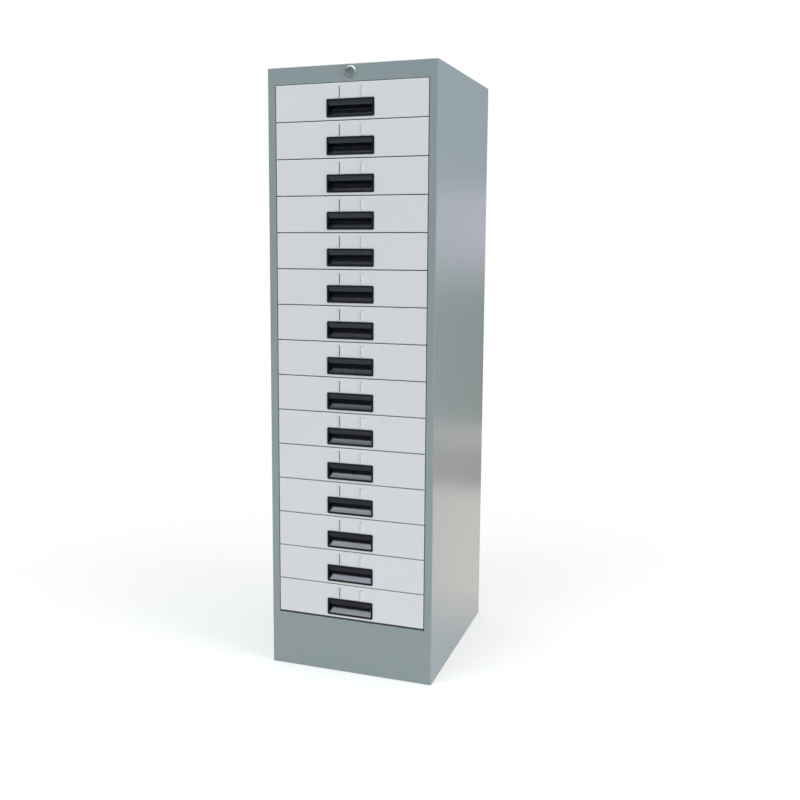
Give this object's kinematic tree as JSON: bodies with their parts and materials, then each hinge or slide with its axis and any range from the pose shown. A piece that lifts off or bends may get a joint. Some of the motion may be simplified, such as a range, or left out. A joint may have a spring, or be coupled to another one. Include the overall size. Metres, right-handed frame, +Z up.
{
  "type": "multi-drawer cabinet",
  "caption": "Tall narrow floor-standing steel cabinet with a column of shallow flush drawers on runners, recessed black pulls, label holders and a gang lock in the top rail.",
  "frame": {"origin": "on the floor under the middle of the cabinet", "axes": "+Z up, the front with the drawers faces -Y, +X to the right as seen from the front"},
  "size_m": [0.375, 0.466, 1.324],
  "materials": {
    "grey_paint": "satin blue-grey powder coat",
    "white_paint": "satin light grey powder coat",
    "tray_paint": "satin blue-grey powder coat",
    "black_plastic": "moulded black plastic",
    "zinc_steel": "bright zinc plate",
    "nickel": "satin nickel plate"
  },
  "bodies": {
    "cabinet": {"left_side_panel": "grey_paint", "right_side_panel": "grey_paint", "top_panel": "grey_paint", "plinth_panel": "grey_paint", "bottom_panel": "grey_paint", "back_panel": "grey_paint", "runner_posts": "zinc_steel", "left_runners": "zinc_steel", "right_runners": "zinc_steel", "lock_barrel": "nickel", "lock_nut": "zinc_steel"},
    "lock_plug": {"lock_plug": "nickel", "lock_cam": "zinc_steel"},
    "lock_slide": {"lock_slide": "zinc_steel"},
    "lock_bar": {"lock_bar": "zinc_steel"},
    "drawer_01": {"drawer_01_tray": "tray_paint", "drawer_01_front": "white_paint", "drawer_01_handle": "black_plastic"},
    "drawer_02": {"drawer_02_tray": "tray_paint", "drawer_02_front": "white_paint", "drawer_02_handle": "black_plastic"},
    "drawer_03": {"drawer_03_tray": "tray_paint", "drawer_03_front": "white_paint", "drawer_03_handle": "black_plastic"},
    "drawer_04": {"drawer_04_tray": "tray_paint", "drawer_04_front": "white_paint", "drawer_04_handle": "black_plastic"},
    "drawer_05": {"drawer_05_tray": "tray_paint", "drawer_05_front": "white_paint", "drawer_05_handle": "black_plastic"},
    "drawer_06": {"drawer_06_tray": "tray_paint", "drawer_06_front": "white_paint", "drawer_06_handle": "black_plastic"},
    "drawer_07": {"drawer_07_tray": "tray_paint", "drawer_07_front": "white_paint", "drawer_07_handle": "black_plastic"},
    "drawer_08": {"drawer_08_tray": "tray_paint", "drawer_08_front": "white_paint", "drawer_08_handle": "black_plastic"},
    "drawer_09": {"drawer_09_tray": "tray_paint", "drawer_09_front": "white_paint", "drawer_09_handle": "black_plastic"},
    "drawer_10": {"drawer_10_tray": "tray_paint", "drawer_10_front": "white_paint", "drawer_10_handle": "black_plastic"},
    "drawer_11": {"drawer_11_tray": "tray_paint", "drawer_11_front": "white_paint", "drawer_11_handle": "black_plastic"},
    "drawer_12": {"drawer_12_tray": "tray_paint", "drawer_12_front": "white_paint", "drawer_12_handle": "black_plastic"},
    "drawer_13": {"drawer_13_tray": "tray_paint", "drawer_13_front": "white_paint", "drawer_13_handle": "black_plastic"},
    "drawer_14": {"drawer_14_tray": "tray_paint", "drawer_14_front": "white_paint", "drawer_14_handle": "black_plastic"},
    "drawer_15": {"drawer_15_tray": "tray_paint", "drawer_15_front": "white_paint", "drawer_15_handle": "black_plastic"}
  },
  "joints": [
    {"name": "drawer_01_slide", "type": "slide", "parent": "cabinet", "child": "drawer_01", "axis": [0, -1, 0], "range_m": [0, 0.33]},
    {"name": "drawer_02_slide", "type": "slide", "parent": "cabinet", "child": "drawer_02", "axis": [0, -1, 0], "range_m": [0, 0.33]},
    {"name": "drawer_03_slide", "type": "slide", "parent": "cabinet", "child": "drawer_03", "axis": [0, -1, 0], "range_m": [0, 0.33]},
    {"name": "drawer_04_slide", "type": "slide", "parent": "cabinet", "child": "drawer_04", "axis": [0, -1, 0], "range_m": [0, 0.33]},
    {"name": "drawer_05_slide", "type": "slide", "parent": "cabinet", "child": "drawer_05", "axis": [0, -1, 0], "range_m": [0, 0.33]},
    {"name": "drawer_06_slide", "type": "slide", "parent": "cabinet", "child": "drawer_06", "axis": [0, -1, 0], "range_m": [0, 0.33]},
    {"name": "drawer_07_slide", "type": "slide", "parent": "cabinet", "child": "drawer_07", "axis": [0, -1, 0], "range_m": [0, 0.33]},
    {"name": "drawer_08_slide", "type": "slide", "parent": "cabinet", "child": "drawer_08", "axis": [0, -1, 0], "range_m": [0, 0.33]},
    {"name": "drawer_09_slide", "type": "slide", "parent": "cabinet", "child": "drawer_09", "axis": [0, -1, 0], "range_m": [0, 0.33]},
    {"name": "drawer_10_slide", "type": "slide", "parent": "cabinet", "child": "drawer_10", "axis": [0, -1, 0], "range_m": [0, 0.33]},
    {"name": "drawer_11_slide", "type": "slide", "parent": "cabinet", "child": "drawer_11", "axis": [0, -1, 0], "range_m": [0, 0.33]},
    {"name": "drawer_12_slide", "type": "slide", "parent": "cabinet", "child": "drawer_12", "axis": [0, -1, 0], "range_m": [0, 0.33]},
    {"name": "drawer_13_slide", "type": "slide", "parent": "cabinet", "child": "drawer_13", "axis": [0, -1, 0], "range_m": [0, 0.33]},
    {"name": "drawer_14_slide", "type": "slide", "parent": "cabinet", "child": "drawer_14", "axis": [0, -1, 0], "range_m": [0, 0.33]},
    {"name": "drawer_15_slide", "type": "slide", "parent": "cabinet", "child": "drawer_15", "axis": [0, -1, 0], "range_m": [0, 0.33]},
    {"name": "lock_bar_lift", "type": "slide", "parent": "cabinet", "child": "lock_bar", "axis": [0, 0, 1], "range_m": [0, 0.012]},
    {"name": "lock_slide_shift", "type": "slide", "parent": "cabinet", "child": "lock_slide", "axis": [-1, 0, 0], "range_m": [0, 0.012]},
    {"name": "lock_plug_turn", "type": "hinge", "parent": "cabinet", "child": "lock_plug", "pos_m": [0, -0.231, 1.3078], "axis": [0, 1, 0], "range_deg": [0, 90]}
  ],
  "couplings": [
    {"joint": "lock_slide_shift", "follows": "lock_bar_lift", "ratio": 1},
    {"joint": "lock_plug_turn", "follows": "lock_bar_lift", "rad_per_m": 130.9}
  ]
}
